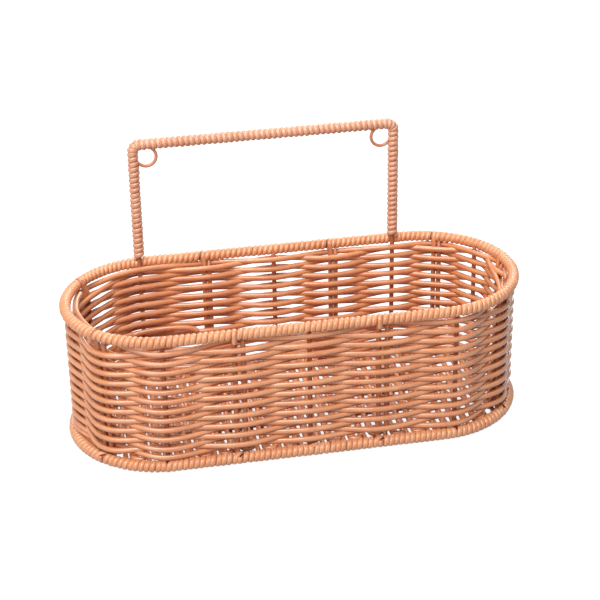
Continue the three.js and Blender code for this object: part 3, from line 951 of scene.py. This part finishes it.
def weaverLine(weaver):
    noise = random.Random(weaver["seed"])
    isHigh = weaver["isHigh"]
    lastStep = stakeCount * (weave["rows"] - 1) + weaver["lastStep"]
    points = []
    for step in range(weaver["firstStep"], lastStep + 1):
        row, stake = divmod(step, stakeCount)
        distance, kind, _ = stakes[stake]
        side = 1 if (kind == "pair") == isHigh else -1
        stakeRadius = strand["radius"] if kind == "pair" else wire["radius"]
        reach = weave["halfDepth"] + stakeRadius + weave["clearance"]
        reach += abs(noise.gauss(0, weave["outNoise"]))
        height = lowFirst + rowPitch * (row + (0.5 if isHigh else 0))
        height += weaver["shifts"][stake] + noise.gauss(0, weave["heightNoise"])
        height = settled(height, weaver, stake, row, side)
        room = weave["pairRoom"] if kind == "pair" else weave["wireRoom"]
        for shift in (-room, room):
            points.append(wall.near(distance + shift, side * reach, height))
    firstStake, lastStake = weaver["firstStep"] % stakeCount, weaver["lastStep"] % stakeCount
    start = nearStake(firstStake, [(-weave["startBack"], weave["startOut"], points[0][2])])
    tail = nearStake(lastStake, weaver["tail"])
    return smoothLine(start + points + tail, weave["samples"], weave["tension"])


def weaverStrand(line):
    return sweep(withTips(line, strand["tip"]), upward, weaverSection, tip=strand["tip"])


for weaver in (highWeaver, lowWeaver):
    loosePoints = nearStake(weaver["looseStake"], weaver["loose"])
    looseLine = smoothLine(loosePoints, weave["looseSamples"], weave["looseTension"])
    woven = joined([weaverStrand(weaverLine(weaver)), weaverStrand(looseLine)])
    makePiece(weaver["piece"], woven, "strand", weaver["node"], strandMaterial)
print("weavers done")


# Base: wires along it, and two strands woven to and fro across them

# Runs is how often a strand crosses the base. The two strands lie side by side, by the offset to either side
# of the middle of their pair. Runs that are too short to reach the outer wires stay level.
baseWeave = {
    "pitch": 7.0,
    "offset": 1.68,
    "radius": 1.64,
    "runs": 41,
    "samples": 9,
    "tension": 0.7,
    "wander": 0.12,
    "turnDepth": 2.0,
    "straightEnd": 2.5,
    "endRise": 0.9,
    "stakeRoom": 2.6,
    "nearStake": 5.2,
    "crossingRoom": 3.0,
    "clearance": 0.05,
    "wireSamples": 10,
    "firstSeed": 40,
}

baseWireZ = middleOf(baseWireNodes[0])[2]
baseWireYs = sorted(middleOf(name)[1] for name in baseWireNodes)
solidLow, solidHigh = boxOf("base_strand_1")
solidReach = (solidHigh[1] - solidLow[1]) / 2 - solidStrandRadius

for node in baseWireNodes:
    low, high = boxOf(node)
    _, y, z = (low + high) / 2
    places = np.array([[x, y, z] for x in np.linspace(low[0], high[0], baseWeave["wireSamples"])])
    tube = sweep(places, upward, wireSection)
    makePiece(node.replace("base_wire_", "baseWire"), tube, "wire", node, wireMaterial)


# Half the length of the run at x, within a round end of the given radius
def halfRun(x, reach):
    past = max(abs(x) - halfStraight, 0)
    return math.sqrt(max(reach ** 2 - past ** 2, 1)) - baseWeave["turnDepth"]


# How far out the turn before a run may reach: to the winding of the base ring, or short of it by a stake
def turnReach(index, firstX, layer):
    reach = endRadius - baseWrapRadius
    x = firstX + (index - 0.5) * baseWeave["pitch"]
    side = layer if index % 2 == 0 else -layer
    middle = np.array([x, side * (halfRun(x, reach) + baseWeave["turnDepth"])])
    gap = min(np.linalg.norm(wall.at(distance)[0][:2] - middle) for distance, _, _ in stakes)
    return reach - (baseWeave["stakeRoom"] if gap < baseWeave["nearStake"] else 0)


# Runs to and fro across the base wires, over the outer ones and under the middle one in layer 1, and the
# other way round in layer -1. Its turns bear on the winding of the base ring.
def baseStrandLine(layer):
    noise = random.Random(baseWeave["firstSeed"] + layer)
    pitch = baseWeave["pitch"]
    runs = baseWeave["runs"]
    lift = wire["radius"] + baseWeave["radius"] + baseWeave["clearance"]
    layerGap = 2 * baseWeave["radius"] + baseWeave["clearance"]
    endZ = baseWireZ + baseWeave["endRise"] - (layerGap if layer < 0 else 0)
    outerY = max(abs(y) for y in baseWireYs)
    firstX = -(runs - 1) / 2 * pitch - layer * baseWeave["offset"]
    points = []
    for run in range(runs):
        x = firstX + run * pitch
        way = -layer if run % 2 == 0 else layer
        start = halfRun(x, turnReach(run, firstX, layer))
        end = halfRun(x, turnReach(run + 1, firstX, layer))
        pairX = x + layer * baseWeave["offset"]
        isLong = halfRun(abs(pairX) + baseWeave["offset"], solidReach) > outerY + baseWeave["crossingRoom"]
        crossed = sorted(baseWireYs, reverse=way < 0) if isLong else []
        points.append((x, -way * start, endZ))
        points.append((x, -way * (start - baseWeave["straightEnd"]), endZ))
        for y in crossed:
            side = -layer if abs(y) < outerY / 2 else layer
            points.append((x + noise.gauss(0, baseWeave["wander"]), y, baseWireZ + side * lift))
        points.append((x, way * (end - baseWeave["straightEnd"]), endZ))
        points.append((x, way * end, endZ))
        if run == runs - 1:
            break
        nextStart = halfRun(x + pitch, turnReach(run + 1, firstX, layer))
        for share in (0.25, 0.5, 0.75):
            turnX = x + pitch / 2 * (1 - math.cos(math.pi * share))
            bulge = baseWeave["turnDepth"] * math.sin(math.pi * share)
            points.append((turnX, way * (end + (nextStart - end) * share + bulge), endZ))
    return smoothLine(points, baseWeave["samples"], baseWeave["tension"])


baseSection = roundSection(strand["sides"], baseWeave["radius"], baseWeave["radius"])
for index, layer in enumerate((1, -1), 1):
    line = withTips(baseStrandLine(layer), strand["tip"])
    woven = sweep(line, upward, baseSection, tip=strand["tip"])
    makePiece(f"baseStrand{index}", woven, "strand", f"base_strand_{index}", strandMaterial)
print("base done")

# The two ring wires keep their solids, which the windings hide
for name in ("rim_wire", "base_ring_wire"):
    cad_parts[name].data.materials.clear()
    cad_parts[name].data.materials.append(wireMaterial)


# Floor, light and camera

lamps = {
    "key": {"place": (-0.45, -0.85, 1.3), "target": (0, 0, 0.08), "size": (1.1, 0.8), "power": 25.5},
    "overhead": {"place": (0.1, 0.3, 1.3), "target": (0, 0, 0.08), "size": (0.6, 0.5), "power": 8},
    "leftFront": {"place": (-1.1, -1.1, 0.5), "target": (0, 0, 0.08), "size": (0.6, 0.6), "power": 6},
    "rear": {"place": (0.6, 1.2, 0.8), "target": (0, 0, 0.06), "size": (1.0, 0.8), "power": 12},
}

# The fill is the light of the surroundings on the basket. The camera sees them at the background's strength.
surroundings = {
    "floorSize": 4.0,
    "floorDrop": 0.0001,
    "floorTone": 0.3,
    "floorGlow": 0.9,
    "fill": 0.08,
    "background": 1.0,
}
white = (1, 1, 1, 1)


def areaLamp(name, place, target, size, power):
    data = bpy.data.lights.new(name, "AREA")
    data.shape = "RECTANGLE"
    data.size, data.size_y = size
    data.energy = power
    lamp = bpy.data.objects.new(name, data)
    bpy.context.scene.collection.objects.link(lamp)
    lamp.location = place
    lamp.rotation_euler = (Vector(target) - Vector(place)).to_track_quat("-Z", "Y").to_euler()


# Is 1 for what the camera sees straight, mirrored or through glass, and 0 for the light on the object
def seenShare(tree):
    rays = addNode(tree, "ShaderNodeLightPath", {}).outputs
    mirrored = calculated(tree, "MAXIMUM", rays["Is Camera Ray"], rays["Is Glossy Ray"])
    return calculated(tree, "MAXIMUM", mirrored, rays["Is Transmission Ray"])


def floorMaterial():
    tone = surroundings["floorTone"]
    material = bpy.data.materials.new("paleFloor")
    material.use_nodes = True
    tree = material.node_tree
    surface = {
        "Base Color": (tone, tone, tone, 1),
        "Roughness": 0.9,
        "Specular IOR Level": 0.1,
        "Emission Color": white,
        "Emission Strength": calculated(tree, "MULTIPLY", seenShare(tree), surroundings["floorGlow"]),
    }
    setInputs(tree, tree.nodes["Principled BSDF"], surface)
    return material


def makeFloor():
    size = surroundings["floorSize"]
    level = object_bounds()[0][2] - surroundings["floorDrop"]
    corners = [(x * size, y * size, level) for x, y in ((-1, -1), (1, -1), (1, 1), (-1, 1))]
    mesh = bpy.data.meshes.new("floor")
    mesh.from_pydata(corners, [], [(0, 1, 2, 3)])
    mesh.materials.append(floorMaterial())
    floor = bpy.data.objects.new("floor", mesh)
    bpy.context.scene.collection.objects.link(floor)


def makeWorld():
    world = bpy.data.worlds.new("studio")
    bpy.context.scene.world = world
    world.use_nodes = True
    tree = world.node_tree
    strength = mapped(tree, seenShare(tree), 0.0, 1.0, surroundings["fill"], surroundings["background"])
    setInputs(tree, tree.nodes["Background"], {"Color": white, "Strength": strength})


# The target is measured from the middle of the rim. Focal length and frame are in pixels of the picture.
cameraView = {
    "focalPixels": 1701.0,
    "framePixels": 600.0,
    "azimuth": -10.87,
    "elevation": 26.64,
    "roll": -0.93,
    "distance": 1091.25,
    "target": (2.63, -12.56, -4.36),
}


def makeCamera(view):
    azimuth, elevation, roll = (math.radians(view[name]) for name in ("azimuth", "elevation", "roll"))
    flat = math.cos(elevation)
    back = Vector((math.sin(azimuth) * flat, -math.cos(azimuth) * flat, math.sin(elevation)))
    level = Vector((math.cos(azimuth), math.sin(azimuth), 0))
    above = back.cross(level)
    right = level * math.cos(roll) + above * math.sin(roll)
    top = back.cross(right)
    target = Vector(view["target"] + upward * rimZ)
    place = (target + back * view["distance"]) * mm
    data = bpy.data.cameras.new("camera")
    data.sensor_width = 36.0
    data.lens = view["focalPixels"] / view["framePixels"] * data.sensor_width
    data.clip_start = 0.01
    camera = bpy.data.objects.new("camera", data)
    bpy.context.scene.collection.objects.link(camera)
    basis = Matrix((right, top, back)).transposed().to_4x4()
    camera.matrix_world = Matrix.Translation(place) @ basis
    bpy.context.scene.camera = camera


makeFloor()
makeWorld()
for name, lamp in lamps.items():
    areaLamp(name, **lamp)
makeCamera(cameraView)
bpy.context.scene.view_settings.view_transform = "Standard"
print("floor, light and camera done")
